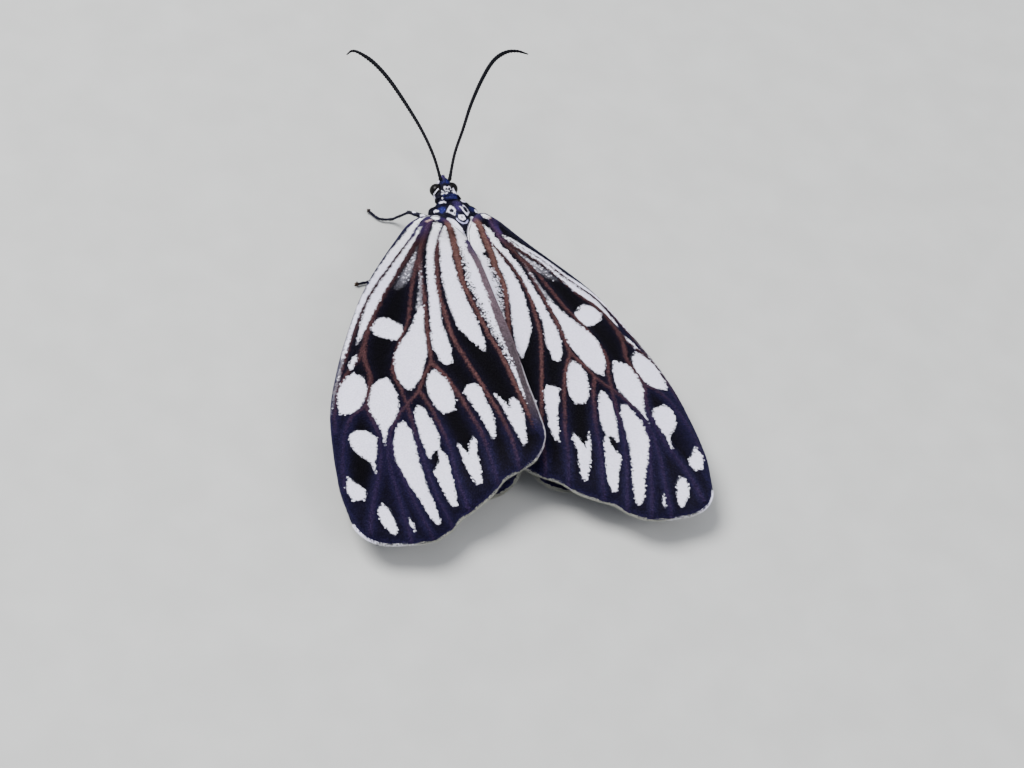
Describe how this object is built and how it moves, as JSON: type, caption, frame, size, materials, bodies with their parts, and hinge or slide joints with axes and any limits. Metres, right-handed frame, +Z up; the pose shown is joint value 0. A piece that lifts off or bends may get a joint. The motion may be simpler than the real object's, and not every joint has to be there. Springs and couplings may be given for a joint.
{
  "type": "moth",
  "caption": "Day-flying burnet moth at rest, life size: striped wings held as a low roof over the body, feelers forward, standing on the feet of its legs.",
  "frame": {"origin": "on the floor, under the middle of the moth's box seen from above", "axes": "+Y towards the head and feelers, +Z up, the moth's left side at -X"},
  "size_m": [0.0278, 0.0442, 0.007],
  "materials": {
    "wing_scales": "matt overlapping scales, black and violet-brown with white streaks",
    "hindwing_scales": "matt overlapping scales, whitish with dark veins and border",
    "blue_black_cuticle": "metallic blue-black scales with white spots",
    "eye": "glossy black facets",
    "abdomen_scales": "blue-black scaled rings with pale sides",
    "antenna": "black, with a blue sheen",
    "leg_cuticle": "black with scattered white scales"
  },
  "bodies": {
    "root": {"forewing_left": "wing_scales", "forewing_right": "wing_scales", "hindwing_left": "hindwing_scales", "hindwing_right": "hindwing_scales", "head": "blue_black_cuticle", "collar": "blue_black_cuticle", "thorax": "blue_black_cuticle", "tegula_left": "blue_black_cuticle", "tegula_right": "blue_black_cuticle", "eye_left": "eye", "eye_right": "eye", "abdomen": "abdomen_scales", "antenna_left": "antenna", "antenna_right": "antenna", "palp_left": "leg_cuticle", "palp_right": "leg_cuticle", "proboscis": "leg_cuticle", "foreleg_left_femur": "leg_cuticle", "foreleg_left_tibia": "leg_cuticle", "foreleg_left_tarsus": "leg_cuticle", "foreleg_right_femur": "leg_cuticle", "foreleg_right_tibia": "leg_cuticle", "foreleg_right_tarsus": "leg_cuticle", "midleg_left_femur": "leg_cuticle", "midleg_left_tibia": "leg_cuticle", "midleg_left_tarsus": "leg_cuticle", "midleg_right_femur": "leg_cuticle", "midleg_right_tibia": "leg_cuticle", "midleg_right_tarsus": "leg_cuticle", "hindleg_left_femur": "leg_cuticle", "hindleg_left_tibia": "leg_cuticle", "hindleg_left_tarsus": "leg_cuticle", "hindleg_right_femur": "leg_cuticle", "hindleg_right_tibia": "leg_cuticle", "hindleg_right_tarsus": "leg_cuticle"}
  },
  "joints": []
}
